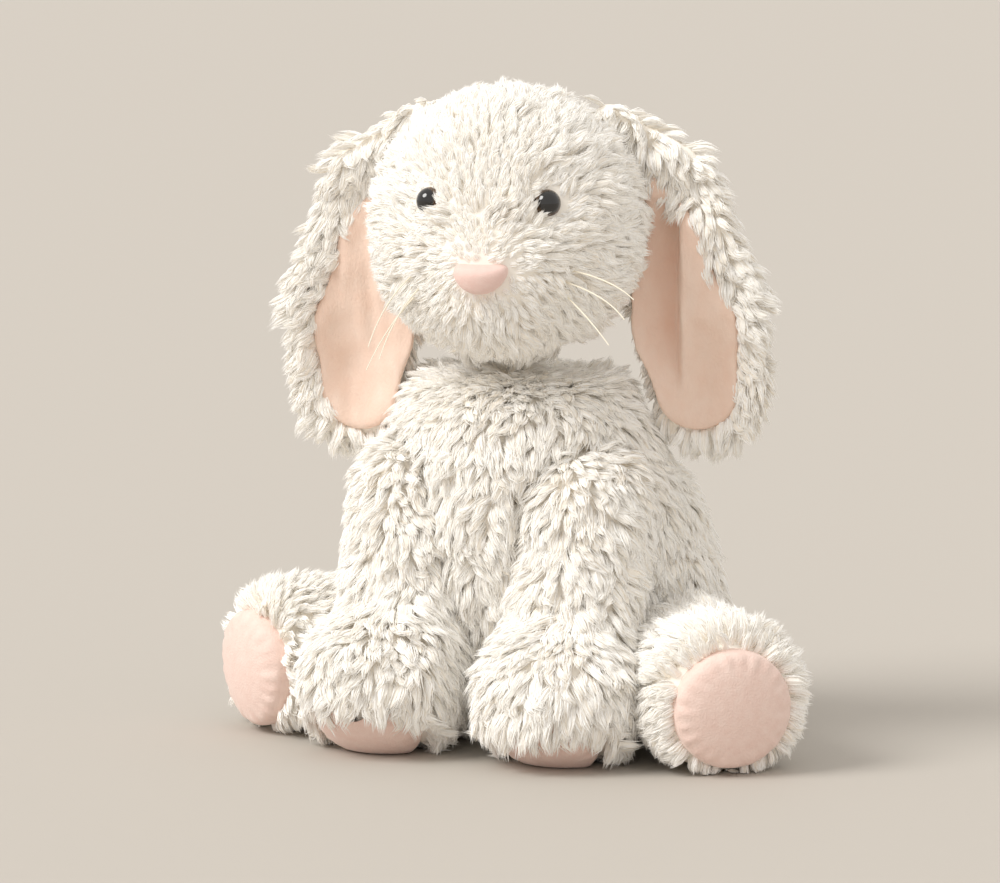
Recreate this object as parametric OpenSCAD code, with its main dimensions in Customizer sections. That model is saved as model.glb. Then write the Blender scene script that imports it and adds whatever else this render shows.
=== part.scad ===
// Stuffed bunny rabbit, sitting up on its forelegs, with long drooping ears.
//
// Millimetres, +Z up. The origin is the centre of the flat seat, on the surface
// that the bunny sits on. The body faces -Y and the bunny's own left is +X.
// Every skin is a shell of long-pile fur fabric: its outer face is the mean
// height of the pile and its inner face is the back of the cloth. The polyester
// filling of each limb is a solid of its own inside its skin.

/* [Torso] */
// Widest radius of the torso, at the belly
belly_r = 70; // [68:1:71]
// Height of the belly's centre above the seat
belly_z = 45; // [44:1:46]
// Forward lean of the torso
lean = 24; // [23:0.5:25]
// Thickness of the body fur, cloth and standing pile together
skin_t = 10; // [8:0.5:11]
// Radius of the flat bag of pellets that weights the seat
pouch_r = 30; // [26:1:31]

/* [Head] */
// Radius of the skull
head_r = 59; // [58:0.5:60]
// Radius of the muzzle
muzzle_r = 33; // [32:0.5:34]
// Turn of the head to the bunny's left at rest
head_turn = 12; // [8:1:15]
// Height of the head's centre above the neck's pivot
head_rise = 65; // [64:0.5:67]
// Radius of the neck's ball of firm filling
neck_ball_r = 30; // [28:0.5:30]

/* [Face] */
// Diameter of a plastic safety eye
eye_d = 12; // [10:0.5:13]
// Angle of each eye from the middle of the face
eye_side = 29; // [26:1:31]
// Angle of the eyes above the middle of the head
eye_lift = 14; // [12:1:16]
// Width of the padded nose
nose_w = 24; // [20:1:26]
// Diameter of a whisker
whisker_d = 0.7; // [0.5:0.1:0.9]

/* [Ears] */
// Thickness of an ear
ear_t = 13; // [11:0.5:14]
// Distance of the ears behind the middle of the head
ear_back = 18; // [16:1:20]
// Outward tilt of the left and the right ear at rest
ear_spread = [4, -2]; // [-3:0.5:5]

/* [Legs] */
// Radius of a foreleg at the shoulder
shoulder_r = 26; // [25:0.5:26]
// Radius of a foreleg above the paw
wrist_r = 25; // [24:0.5:25]
// Radius of a forepaw
paw_r = 31; // [29:0.5:31]
// Radius of a hind leg at the hip
hip_r = 24; // [23:0.5:24]
// Radius of a hind foot
foot_r = 31; // [29:0.5:31]
// Radius of the bare pad under a forepaw
pad_r = 23; // [20:1:24]
// Radius of the bare sole of a hind foot
sole_r = 26; // [23:1:27]

/* [Tail] */
// Radius of the pom-pom tail
tail_r = 22; // [18:1:24]

/* [Hidden] */
$fn = 48;

SIDES = ["left", "right"];
WHISKERS = ["upper", "middle", "lower"];

// colours
FUR = [0.96, 0.95, 0.92];
PINK = [0.95, 0.80, 0.73];
STUFFING = [0.98, 0.98, 0.98];
BLACK = [0.03, 0.02, 0.02];
CLOTH = [0.75, 0.74, 0.70];
PELLET = [0.85, 0.87, 0.90];
CLEAR = [0.93, 0.90, 0.82];

gap = 0.5;                 // running gap between two bodies
touch = 0.15;              // gap between neighbours on one body
far = 400;                 // larger than the whole toy
ear_clear = 6.5;           // how far the back stays inside the space the ears sweep
ear_low = 61;              // the ears never come down as far as this height
shoulder_clear = 2.5;      // extra room round a turning shoulder
hip_clear = 5;             // extra room round a turning hip

neck = [0, -52, 160];
torso_top = neck.z - 3.5;
head = neck + [0, 0, head_rise];
muzzle_at = [0, -34, -18];

// Legs, given for the left side and mirrored; the right foot is drawn in a little.
shoulder = [38, -60, 106];
wrist = [39, -79, 34];
paw = [41, -95, paw_r - 2];
ankle = wrist + [0, 3, 3]; // where the paw's widening starts
swing_max = 60;            // a foreleg's swing forward and up
slot_past = 65;            // the slot in the chest runs on past that, by the leg's own width
pad_tilt = 38;             // the paw's pad faces this far forward of straight down
hip = [[56, -14, 36], [56, -10, 36]];
foot = [[107.5, -78.5, foot_r - 1], [97, -62, foot_r - 1]];

// Ears as circles [x, z, radius] from the head's centre, root first.
EAR = [[42, 39, 10], [67, 13, 24], [80, -35, 29], [82, -77, 25]];
LINING = [[61, 12, 5], [78, -38, 20], [82, -78, 16]];
root_r = EAR[0][2];

// ---- curves ----

// Points on an arc, radius first then height, for a profile that is turned.
function arc(c, r, from, to, n = 9) =
  [for (i = [0 : n]) let (a = from + (to - from) * i / n) c + r * [cos(a), sin(a)]];

// Catmull-Rom curve through the stations p, with n steps in each span.
function spline_at(a, b, c, d, t) =
  0.5 * (2 * b + (c - a) * t + (2 * a - 5 * b + 4 * c - d) * t * t
         + (3 * b - a - 3 * c + d) * t * t * t);
function spline(p, n = 4) = let (m = len(p) - 1) concat(
  [for (i = [0 : m - 1], k = [0 : n - 1])
    spline_at(p[max(i - 1, 0)], p[i], p[i + 1], p[min(i + 2, m)], k / n)],
  [p[m]]);

// Turns +Z towards the direction v.
module aim(v) {
  rotate([0, acos(v.z / norm(v)), atan2(v.y, v.x)]) children();
}

// A round limb from a, of radius ra, to b, of radius rb, with ball ends.
module limb(a, ra, b, rb) {
  length = norm(b - a);
  slope = asin((ra - rb) / length);
  translate(a) aim(b - a) rotate_extrude()
    polygon(concat(arc([0, 0], ra, -90, slope), arc([0, length], rb, slope, 90)));
}

module above(z) { translate([-far / 2, -far / 2, z]) cube(far); }
module below(z) { translate([-far / 2, -far / 2, z - far]) cube(far); }

// Puts a left-hand shape on side i, 0 for left and 1 for right.
module on_side(i) {
  if (i == 0) children();
  else mirror([1, 0, 0]) children();
}

// ---- torso ----

// Turned body, leaning forward, with a ball for the belly and a narrower chest.
module torso_form(g) {
  r = belly_r + g;
  chest = spline([[r, 0], [r - 1, 28], [r - 4, 58], [r - 8, 84], [r - 15, 106],
                  [r - 31, 124 + g / 2], [0, 133 + g]]);
  intersection() {
    translate([0, 0, belly_z]) rotate([lean, 0, 0]) rotate_extrude()
      polygon(concat(arc([0, 0], r, -90, -8), chest));
    union() {
      turning_space(g - ear_clear);
      below(ear_low);
    }
  }
}

// The space under the ears. As the head turns, the ears stay outside it and the
// chest and shoulders stay inside it, with clearance for the head's nod.
module turning_space(g) {
  translate([neck.x, neck.y, 0]) rotate_extrude() polygon(concat([[0, 60]],
    [for (p = [[130, 60], [112, 80], [97, 96], [86, 110], [79, 121], [71, 135],
               [62, 148]]) p + [g, 0]], [[54 + g, torso_top], [0, torso_top]]));
}

// The slot in the chest for a foreleg, from its place at rest to past fully forward.
module swing_slot() {
  length = norm(wrist - shoulder);
  rest = atan2(shoulder.y - wrist.y, shoulder.z - wrist.z);
  sweep = swing_max + slot_past;
  half = shoulder_r + gap;
  translate(shoulder) rotate([0, 90, 0]) rotate(-rest - sweep) rotate_extrude(angle = sweep)
    polygon([[0, -half], [length, -half], [length, half], [0, half]]);
}

// Everything the torso must leave free: the neck's ball and the four limbs.
module torso_pockets() {
  translate(neck) sphere(neck_ball_r + gap);
  for (i = [0, 1]) on_side(i) {
    limb(shoulder, shoulder_r + gap, wrist, wrist_r + gap);
    translate(shoulder) sphere(shoulder_r + shoulder_clear);
    swing_slot();
    limb(hip[i], hip_r + gap, foot[i], foot_r + gap);
    translate(hip[i]) sphere(hip_r + hip_clear);
  }
}

module torso_shell() {
  difference() {
    intersection() {
      torso_form(0);
      above(skin_t);
      below(torso_top);
    }
    torso_form(-skin_t);
    torso_pockets();
  }
}

// A slice of the torso between two directions seen from above, -Y being 0.
module torso_sector(from, to) {
  linear_extrude(far) polygon(concat([[0, 0]],
    [for (i = [0 : 6]) let (a = from + (to - from) * i / 6 - 90) far * [cos(a), sin(a)]]));
}

module torso_panel(from, to) {
  color(FUR) intersection() {
    torso_shell();
    torso_sector(from, to);
  }
}

module seat_panel() {
  color(FUR) difference() {
    intersection() {
      torso_form(0);
      above(0);
      below(skin_t);
    }
    torso_pockets();
  }
}

pouch_half = 12;           // half the thickness of the pellet pouch
pouch_up = 4;              // filling under the pouch
pouch_t = 1.2;             // cloth of the pouch

module pouch_form(g) {
  r = pouch_half + g;
  translate([0, 0, skin_t + pouch_up + pouch_half]) rotate_extrude()
    polygon(concat([[0, -r]], arc([pouch_r - pouch_half, 0], r, -90, 90), [[0, r]]));
}

module torso_stuffing() {
  color(STUFFING) difference() {
    intersection() {
      torso_form(-skin_t - touch);
      above(skin_t + touch);
      below(torso_top - skin_t);
    }
    torso_pockets();
    pouch_form(touch);
  }
}

module pellet_pouch() {
  color(CLOTH) difference() {
    pouch_form(0);
    pouch_form(-pouch_t);
  }
}

module pellets() {
  color(PELLET) pouch_form(-pouch_t - touch);
}

tail = [0, belly_r + 7, belly_z - 7];

// A ball drawn as a turned profile, for what is cut against the belly.
module turned_ball(r) { rotate_extrude() polygon(arc([0, 0], r, -90, 90, 18)); }

module tail_fur() {
  color(FUR) difference() {
    translate(tail) rotate([90, 0, 0]) turned_ball(tail_r);
    translate(tail) rotate([90, 0, 0]) turned_ball(tail_r - skin_t);
    translate([0, 0, belly_z]) rotate([90, 0, 0]) turned_ball(belly_r + 1);
  }
}

module tail_stuffing() {
  color(STUFFING) difference() {
    translate(tail) rotate([90, 0, 0]) turned_ball(tail_r - skin_t - touch);
    translate([0, 0, belly_z]) rotate([90, 0, 0]) turned_ball(belly_r + 1);
  }
}

module neck_stuffing() {
  color(STUFFING) translate(neck) sphere(neck_ball_r);
}

// ---- head, drawn about its centre, looking along -Y ----

module at_head() { translate(head) rotate(head_turn) children(); }

module head_form(g) {
  sphere(head_r + g, $fn = 96);
  translate(muzzle_at) sphere(muzzle_r + g);
}

// Turns +Z to a direction out of the head, a degrees to its left and e up.
module facing(a, e) { rotate([0, 0, a]) rotate([90 - e, 0, 0]) children(); }

eye_r = eye_d / 2;
eye_base = head_r - 5.5;   // where the eye's flat back lies, down in the pile
washer_out = head_r - skin_t - 0.9;
washer_r = 8;
washer_t = 1.6;
shank_r = 2;
shank_in = 9;              // how far the shank runs in past the washer's outer face
shank_play = 0.1;

module eye_space() {
  translate([0, 0, eye_base - 0.1]) cylinder(r = eye_r + 0.3, h = 20);
  translate([0, 0, washer_out - shank_in - 3]) cylinder(r = shank_r + shank_play, h = 20);
}

module eye() {
  translate([0, 0, eye_base]) intersection() {
    translate([0, 0, -0.5]) sphere(eye_r);
    cylinder(r = eye_r * 2, h = eye_r * 2);
  }
  translate([0, 0, washer_out - shank_in])
    cylinder(r = shank_r, h = eye_base - washer_out + shank_in + 0.2);
}

module eye_washer() {
  difference() {
    translate([0, 0, washer_out - washer_t]) cylinder(r = washer_r, h = washer_t);
    cylinder(r = shank_r + shank_play / 2, h = far);
  }
}

// The nose is a small padded half disc with a straight upper edge.
nose_base = 61.5;
nose_h = 5.5;
nose_e = -12;

module nose_form(g) {
  cap_r = ((nose_w / 2) ^ 2 + nose_h ^ 2) / (2 * nose_h);
  intersection() {
    translate([0, 0, nose_base + nose_h - cap_r]) sphere(cap_r + g);
    translate([-far / 2, -far + 1 + g, nose_base - g]) cube(far);
  }
}

module nose() {
  color(PINK) at_head() facing(0, nose_e) nose_form(0);
}

// Whiskers: [side angle, lift] of each pair, upper to lower. A whisker is a straight,
// stiff filament that points away from the middle of the head.
WHISKER_AT = [[34, -17], [31, -22], [35, -26]];
whisker_root = 50;
whisker_l = 50;

module whisker_frame(k) {
  w = WHISKER_AT[k];
  facing(w[0], w[1]) translate([0, 0, whisker_root]) children();
}

module whisker(k) { whisker_frame(k) cylinder(d = whisker_d, h = whisker_l, $fn = 16); }

module whisker_hole(k) {
  whisker_frame(k) translate([0, 0, -1]) cylinder(d = whisker_d + 0.3, h = 40, $fn = 16);
}

// ---- ears ----

// The ear's outline: each pair of neighbouring circles is joined by its tangents.
module outline(circles, g = 0) {
  for (i = [0 : len(circles) - 2]) hull() for (c = [circles[i], circles[i + 1]])
    translate([c.x, c.y]) circle(c[2] + g, $fn = 40);
}

// Stands a shape that is drawn flat in x and z upright, y0 to y1 behind the centre.
module upright(y0, y1) {
  translate([0, y1, 0]) rotate([90, 0, 0]) linear_extrude(y1 - y0) children();
}

// Swings ear i out from the head about its root.
module spread(i) {
  root = [EAR[0].x, 0, EAR[0].y];
  translate(root) rotate([0, -ear_spread[i], 0]) translate(-root) children();
}

ear_front = ear_back - ear_t / 2;
ear_rear = ear_back + ear_t / 2;
lining_t = 3;

module ear_fur(i) {
  color(FUR) at_head() on_side(i) {
    difference() {
      spread(i) upright(ear_front, ear_rear) outline(EAR);
      spread(i) upright(ear_front - 1, ear_front + lining_t + touch) outline(LINING, touch);
      sphere(head_r + gap + 0.3, $fn = 96);
      translate(-head) turning_space(0);
    }
    translate([EAR[0].x, ear_rear - 0.6, EAR[0].y]) rotate([90, 0, 0])
      cylinder(r = root_r - 0.4, h = ear_t - 1.2);
  }
}

module ear_lining(i) {
  color(PINK) at_head() on_side(i) difference() {
    spread(i) upright(ear_front, ear_front + lining_t) outline(LINING);
    sphere(head_r + gap + 0.3, $fn = 96);
    translate(-head) turning_space(0);
  }
}

// The seam in the head that takes the ear's root.
module ear_seam() {
  translate([EAR[0].x, ear_rear + gap, EAR[0].y]) rotate([90, 0, 0])
    cylinder(r = root_r + gap, h = ear_t + 2 * gap);
}

// ---- head skin, in four panels ----

gusset_w = 40;
chin_z = -36;

module head_shell() {
  difference() {
    head_form(0);
    head_form(-skin_t);
    translate([0, 0, -head_rise]) sphere(neck_ball_r + gap);
    facing(0, nose_e) nose_form(0.2);
    facing(0, nose_e) translate([-nose_w / 2, -nose_w / 2, nose_base + 2])
      cube([nose_w, nose_w / 2 + 1.2, 20]);
    for (i = [0, 1]) on_side(i) {
      facing(eye_side, eye_lift) eye_space();
      for (k = [0 : 2]) whisker_hole(k);
      ear_seam();
    }
  }
}

module side_block(x) { translate([x, -far / 2, chin_z]) cube(far); }

module head_gusset() {
  color(FUR) at_head() intersection() {
    head_shell();
    translate([-gusset_w / 2, -far / 2, chin_z]) cube([gusset_w, far, far]);
  }
}

module head_side_panel(i) {
  color(FUR) at_head() intersection() {
    head_shell();
    on_side(i) side_block(gusset_w / 2);
  }
}

module chin_panel() {
  color(FUR) at_head() intersection() {
    head_shell();
    below(chin_z);
  }
}

module head_stuffing() {
  color(STUFFING) at_head() difference() {
    head_form(-skin_t - touch);
    translate([0, 0, -head_rise]) sphere(neck_ball_r + gap);
    for (i = [0, 1]) on_side(i) {
      facing(eye_side, eye_lift) {
        eye_space();
        translate([0, 0, washer_out - washer_t - touch]) cylinder(r = washer_r + touch, h = skin_t);
      }
      ear_seam();
      for (k = [0 : 2]) whisker_hole(k);
    }
  }
}

// ---- forelegs ----

// A straight leg that widens into a paw, flat where it stands.
module foreleg_form(g) {
  intersection() {
    union() {
      limb(shoulder, shoulder_r + g, wrist, wrist_r + g);
      limb(ankle, wrist_r - 2 + g, paw, paw_r + g);
    }
    above(-g);
  }
}

// The round patch that the bare pad fills, low on the front of the paw.
module pad_patch(g) {
  translate(paw) aim([0, -sin(pad_tilt), -cos(pad_tilt)]) cylinder(r = pad_r + g, h = 2 * paw_r);
}

module foreleg_shell() {
  difference() {
    foreleg_form(0);
    foreleg_form(-skin_t);
  }
}

module foreleg_panel(i, outer) {
  color(FUR) on_side(i) difference() {
    foreleg_shell();
    pad_patch(touch);
    translate([outer ? wrist.x - far : wrist.x, -far / 2, -far / 2]) cube(far);
  }
}

module foreleg_pad(i) {
  color(PINK) on_side(i) intersection() {
    foreleg_shell();
    pad_patch(0);
  }
}

module foreleg_stuffing(i) {
  color(STUFFING) on_side(i) foreleg_form(-skin_t - touch);
}

// ---- hind legs ----

sole_edge = 50;            // angle from the leg's side at which the foot turns into the sole
sole_dome = 4.5;           // how far the sole bulges

// A short leg that lies along the floor and ends in a round, nearly flat sole.
module hind_leg_form(i, g) {
  length = norm(foot[i] - hip[i]);
  rh = hip_r + g;
  rf = foot_r + g;
  slope = asin((rh - rf) / length);
  edge = rf * [cos(sole_edge), sin(sole_edge)];
  dome_r = (edge.x ^ 2 + sole_dome ^ 2) / (2 * sole_dome);
  dome_a = acos(edge.x / dome_r);
  intersection() {
    translate(hip[i]) aim(foot[i] - hip[i]) rotate_extrude() polygon(concat(
      arc([0, 0], rh, -90, slope),
      arc([0, length], rf, slope, sole_edge),
      arc([0, length + edge.y + sole_dome - dome_r], dome_r, dome_a + 3, 90)));
    above(-g);
  }
}

module sole_patch(i, g) {
  translate(foot[i]) aim(foot[i] - hip[i]) cylinder(r = sole_r + g, h = 2 * foot_r);
}

module hind_leg_shell(i) {
  difference() {
    hind_leg_form(i, 0);
    hind_leg_form(i, -skin_t);
  }
}

module hind_leg_panel(i, upper) {
  color(FUR) on_side(i) difference() {
    hind_leg_shell(i);
    sole_patch(i, touch);
    if (upper) below(foot[i].z);
    else above(foot[i].z);
  }
}

module hind_leg_sole(i) {
  color(PINK) on_side(i) intersection() {
    hind_leg_shell(i);
    sole_patch(i, 0);
  }
}

module hind_leg_stuffing(i) {
  color(STUFFING) on_side(i) hind_leg_form(i, -skin_t - touch);
}

// ---- the nodes ----

torso_panel(-58, 58);  // torso_front_panel
torso_panel(58, 180);  // torso_back_left_panel
torso_panel(-180, -58);  // torso_back_right_panel
seat_panel();
torso_stuffing();
pellet_pouch();
pellets();
tail_fur();
tail_stuffing();
neck_stuffing();
head_gusset();
head_side_panel(0);  // head_left_panel
head_side_panel(1);  // head_right_panel
chin_panel();
head_stuffing();
nose();
for (i = [0, 1]) {
  s = SIDES[i];
  color(BLACK) at_head() on_side(i) facing(eye_side, eye_lift) eye();
  color(CLOTH) at_head() on_side(i) facing(eye_side, eye_lift) eye_washer();
  for (k = [0 : 2]) color(CLEAR) at_head() on_side(i) whisker(k);
  ear_fur(i);
  ear_lining(i);
  foreleg_panel(i, true);
  foreleg_panel(i, false);
  foreleg_pad(i);
  foreleg_stuffing(i);
  hind_leg_panel(i, true);
  hind_leg_panel(i, false);
  hind_leg_sole(i);
  hind_leg_stuffing(i);
}
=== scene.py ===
"""The looks of a seated plush rabbit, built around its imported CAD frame.

The frame is in metres. Shapes are worked out in millimetres, +Z up, the face towards -Y and the
rabbit's own left towards +X, and turned into metres as each mesh is made.
"""
import math

import bpy
import numpy as np
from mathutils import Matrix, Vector
from mathutils.kdtree import KDTree


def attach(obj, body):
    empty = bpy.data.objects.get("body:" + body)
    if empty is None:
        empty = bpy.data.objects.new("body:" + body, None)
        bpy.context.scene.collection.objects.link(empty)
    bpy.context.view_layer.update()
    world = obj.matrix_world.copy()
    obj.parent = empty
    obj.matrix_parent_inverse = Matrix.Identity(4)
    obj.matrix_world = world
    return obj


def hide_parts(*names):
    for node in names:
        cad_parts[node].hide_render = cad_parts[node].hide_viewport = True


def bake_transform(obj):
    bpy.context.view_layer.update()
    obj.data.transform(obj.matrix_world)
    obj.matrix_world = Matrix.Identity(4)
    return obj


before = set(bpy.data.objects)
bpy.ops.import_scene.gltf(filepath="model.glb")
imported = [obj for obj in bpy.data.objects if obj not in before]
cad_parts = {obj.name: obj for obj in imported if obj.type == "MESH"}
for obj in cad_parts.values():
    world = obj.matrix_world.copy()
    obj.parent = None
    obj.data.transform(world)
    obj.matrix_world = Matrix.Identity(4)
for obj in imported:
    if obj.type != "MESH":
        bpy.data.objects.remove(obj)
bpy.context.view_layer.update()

MM = 0.001
SIDES = {"left": 1, "right": -1}


def placed(name, data):
    """A new object with this data, linked to the scene."""
    ob = bpy.data.objects.new(name, data)
    bpy.context.scene.collection.objects.link(ob)
    return ob


def shade_smooth(me):
    me.polygons.foreach_set("use_smooth", [True] * len(me.polygons))


def facing(side, lift):
    """The direction side degrees round from -Y to the rabbit's left and lift degrees up."""
    a, e = math.radians(side), math.radians(lift)
    return np.array([math.cos(e) * math.sin(a), -math.cos(e) * math.cos(a), math.sin(e)])


# ---- camera, at the viewing angle of a portrait taken from the rabbit's front left ----

VIEW_AZIMUTH, VIEW_ELEVATION = 23, 8
VIEW_DISTANCE = 3.0
LOOK_AT = Vector((-0.0066, -0.046, 0.1289))
LENS = 251.2

back = Vector(facing(VIEW_AZIMUTH, VIEW_ELEVATION))
camera = placed("camera", bpy.data.cameras.new("camera"))
camera.data.lens = LENS
camera.location = LOOK_AT + back * VIEW_DISTANCE
camera.rotation_euler = (-back).to_track_quat("-Z", "Y").to_euler()
bpy.context.scene.camera = camera

# ---- the CAD's own stations, in millimetres, for the left side ----

BELLY = np.array([0, 0, 45.0])
LEAN = math.radians(24)
BELLY_R = 70
# The torso's radius by height over its belly along its leaning axis, and by height under the ears.
BODY_RADIUS = [(0, 70), (28, 69), (58, 66), (84, 62), (106, 55), (124, 39), (133, 4)]
TURNING = [(60, 130), (80, 112), (96, 97), (110, 86), (121, 79), (135, 71), (148, 62), (156.5, 54)]
TORSO_TOP = 156.5
NECK = np.array([0, -52, 160.0])
NECK_FILLET = 42
HEAD = np.array([0, -52, 225.0])
HEAD_TURN = math.radians(12)
HEAD_R = 59
MUZZLE = np.array([0, -34, -18.0])
MUZZLE_R = 33
CHEEK = np.array([20, -12, -14])
CHEEK_R = 34
SHOULDER = np.array([38, -60, 106.0])
WRIST = np.array([39, -79, 34.0])
PAW = np.array([41, -95, 29.0])
SHOULDER_R, WRIST_R, FOREARM_R, PAW_R = 26, 25, 23, 31
SWING = math.radians(62)
HIP = {"left": np.array([56, -14, 36.0]), "right": np.array([56, -10, 36.0])}
FOOT = {"left": np.array([107.5, -78.5, 30.0]), "right": np.array([97, -62, 30.0])}
HIP_R, FOOT_R = 24, 31
FOOT_END_R, FOOT_END_BACK = 46.3, -18.1  # the flatter ball that ends a foot, and where along it
TAIL = np.array([0, 77, 38.0])
TAIL_R = 22
PAD_R = 23
PAD_HIGH, PAD_CROWN_R = 30.5, 45
PAD_TOP = {"left": 19, "right": 23}  # the fur hangs over the pad above this height
PAD_UNDER_FUR = 6  # and the pad goes on this far beneath it
SOLE_R = 26
SOLE_HIGH, SOLE_CROWN_R, SOLE_TOP = 27.5, 75, 70
PAD_AXIS = np.array([0, -math.sin(math.radians(38)), -math.cos(math.radians(38))])
# Circles (x, z, radius) from root to tip; the ear and its lining are their tangent outlines.
EAR = [(40, 41, 13), (63, 13, 23), (73.5, -35, 29.5), (76, -76, 26)]
LINING = [(57, 15, 4), (61, -12, 17), (68.5, -48, 21.5), (72, -75, 17.5)]
EAR_MIDDLE = 18
EAR_T = 13
EAR_SKIN_IN = 3  # how far its skin lies inside that thickness and outline
SPREAD = {"left": math.radians(4), "right": math.radians(-2)}


def turned_z(p, angle):
    """The points p turned about Z."""
    c, s = math.cos(angle), math.sin(angle)
    return np.stack([p[..., 0] * c - p[..., 1] * s, p[..., 0] * s + p[..., 1] * c, p[..., 2]], -1)


def out_of_head(p):
    """From the head's own axes to the frame's."""
    return turned_z(np.asarray(p, float), HEAD_TURN) + HEAD


def into_head(p):
    """From the frame's axes to the head's own."""
    return turned_z(p - HEAD, -HEAD_TURN)


def mirrored(p, sign):
    return p * np.array([sign, 1, 1])


def unit(v):
    return v / np.maximum(np.linalg.norm(v, axis=-1, keepdims=True), 1e-9)


def beside_axis(p, centre, axis):
    """How far along an axis the points are, and how far out from it."""
    rel = p - centre
    along = rel @ axis
    return along, np.linalg.norm(rel - along[:, None] * axis, axis=1)


def sole_axis(side):
    return unit(FOOT[side] - HIP[side])


# ---- distance fields: negative inside, in millimetres ----

FLOOR_GAP = 0.35
UNDER_PAW = 2.4  # height of the backing over the floor there
RECESS = 4  # how deep the backing lies beneath a velour patch
DRAWN_IN = 4  # how far the torso is drawn in under the ears
HEAD_SKIN = -5.0  # the head's backing, from its CAD form; the others' lie on theirs


def ball(p, c, r):
    return np.linalg.norm(p - c, axis=-1) - r


def limb(p, a, ra, b, rb):
    """Two balls and the cone that joins them."""
    axis = b - a
    length = np.linalg.norm(axis)
    rel = p - a
    along = rel @ axis / length
    out = np.sqrt(np.maximum((rel ** 2).sum(-1) - along ** 2, 0))
    s = (ra - rb) / length
    c = math.sqrt(1 - s * s)
    k = along * c - out * s
    middle = out * c + along * s - ra
    return np.where(k < 0, np.hypot(out, along) - ra,
                    np.where(k > c * length, np.hypot(out, along - length) - rb, middle))


def joined(a, b, k):
    """The union of two fields, with a fillet of about k."""
    h = np.clip(0.5 + 0.5 * (b - a) / k, 0, 1)
    return b + (a - b) * h - k * h * (1 - h)


def both(a, b, k):
    """The overlap of two fields, its edge rounded by about k."""
    return -joined(-a, -b, k)


def cut(a, b):
    """Field a with b taken out of it, its edge rounded by about 4."""
    return -joined(-a, b, 4)


def above(p, z):
    return z - p[..., 2]


def foreleg_field(p):
    upper = limb(p, SHOULDER, SHOULDER_R, WRIST, WRIST_R)
    lower = limb(p, WRIST + (0, 3, 3), FOREARM_R, PAW, PAW_R)
    return np.maximum(joined(upper, lower, 12), above(p, 0))


def swing_field(p, g=0):
    """The space that a foreleg sweeps from rest to fully forward."""
    rel = p - SHOULDER
    rest = math.atan2(SHOULDER[1] - WRIST[1], SHOULDER[2] - WRIST[2])
    turn = np.arctan2(-rel[..., 1], -rel[..., 2])
    turn = turn - np.clip(turn - rest, 0, SWING)
    r = np.hypot(rel[..., 1], rel[..., 2])
    at = np.stack([rel[..., 0], -r * np.sin(turn), -r * np.cos(turn)], -1) + SHOULDER
    return limb(at, SHOULDER, SHOULDER_R, WRIST, WRIST_R) - g


def hind_leg_field(p, side, g=0):
    hip, foot = HIP[side], FOOT[side]
    u = (foot - hip) / np.linalg.norm(foot - hip)
    leg = limb(p, hip, HIP_R, foot, FOOT_R)
    dome = ball(p, foot + u * FOOT_END_BACK, FOOT_END_R)
    leg = np.where((p - foot) @ u > 0, both(leg, dome, 6), leg)
    return np.maximum(leg - g, above(p, -g))


def torso_field(p):
    axis = np.array([0, -math.sin(LEAN), math.cos(LEAN)])
    rel = p - BELLY
    along = rel @ axis
    out = np.sqrt(np.maximum((rel ** 2).sum(-1) - along ** 2, 0))
    radius = np.interp(along, *zip(*BODY_RADIUS))
    form = np.where(along < 0, np.linalg.norm(rel, axis=-1) - BELLY_R, (out - radius) * 0.96)
    under_ears = np.hypot(p[..., 0], p[..., 1] - NECK[1]) - np.interp(p[..., 2], *zip(*TURNING))
    trim = np.minimum(under_ears * 0.75 + 5, p[..., 2] - 61)
    form = np.maximum(both(form, trim, 6), above(p, 0))
    return np.maximum(form, p[..., 2] - TORSO_TOP)


def shoulder_field(p):
    """The torso, drawn in near its top where the ears pass."""
    return torso_field(p) + DRAWN_IN * np.clip((p[..., 2] - 100) / 18, 0, 1)


def torso_skin_field(p):
    d = shoulder_field(p)
    for side, sign in SIDES.items():
        q = mirrored(p, sign)
        d = cut(d, swing_field(q, -1))
        d = cut(d, hind_leg_field(q, side, -1))
    return d


def under_patch(p, centre, axis, radius):
    """1 beneath a velour patch round an axis, falling to 0 just outside it."""
    along, out = beside_axis(p, centre, axis)
    return np.clip((radius + 1.5 - out) / 3, 0, 1) * (along > 4)


def foreleg_skin_field(p, side):
    flare = 1.5 * np.clip((60 - p[:, 2]) / 40, 0, 1)
    pad = under_patch(p, PAW, PAD_AXIS, PAD_R) * np.clip((PAD_TOP[side] + 1 - p[:, 2]) / 3, 0, 1)
    form = foreleg_field(p) - flare * (1 - pad) + RECESS * pad
    return np.maximum(form, above(p, UNDER_PAW))


def hind_leg_skin_field(p, side):
    sole = under_patch(p, FOOT[side], sole_axis(side), SOLE_R - 3)
    return hind_leg_field(p, side) + RECESS * sole


def head_field(p, g=0):
    q = into_head(p)
    return joined(ball(q, 0, HEAD_R), ball(q, MUZZLE, MUZZLE_R), 16) - g


def head_skin_field(p):
    """The head with its cheeks filled out."""
    q = into_head(p)
    q[:, 0] = np.abs(q[:, 0])
    return joined(head_field(p), ball(q, CHEEK, CHEEK_R), 9) - HEAD_SKIN


def neck_field(p):
    """The hollow between the chest and the chin, filled flush with both."""
    flush = joined(shoulder_field(p), ball(p, HEAD, HEAD_R + HEAD_SKIN), NECK_FILLET) + 1.5
    d = cut(flush, head_field(p, HEAD_SKIN - 4))
    return np.maximum.reduce([d, above(p, NECK[2] - 24), p[..., 2] - NECK[2] - 26])


def tail_field(p, g=0):
    return cut(ball(p, TAIL, TAIL_R) - g, ball(p, BELLY, BELLY_R - 4))


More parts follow.
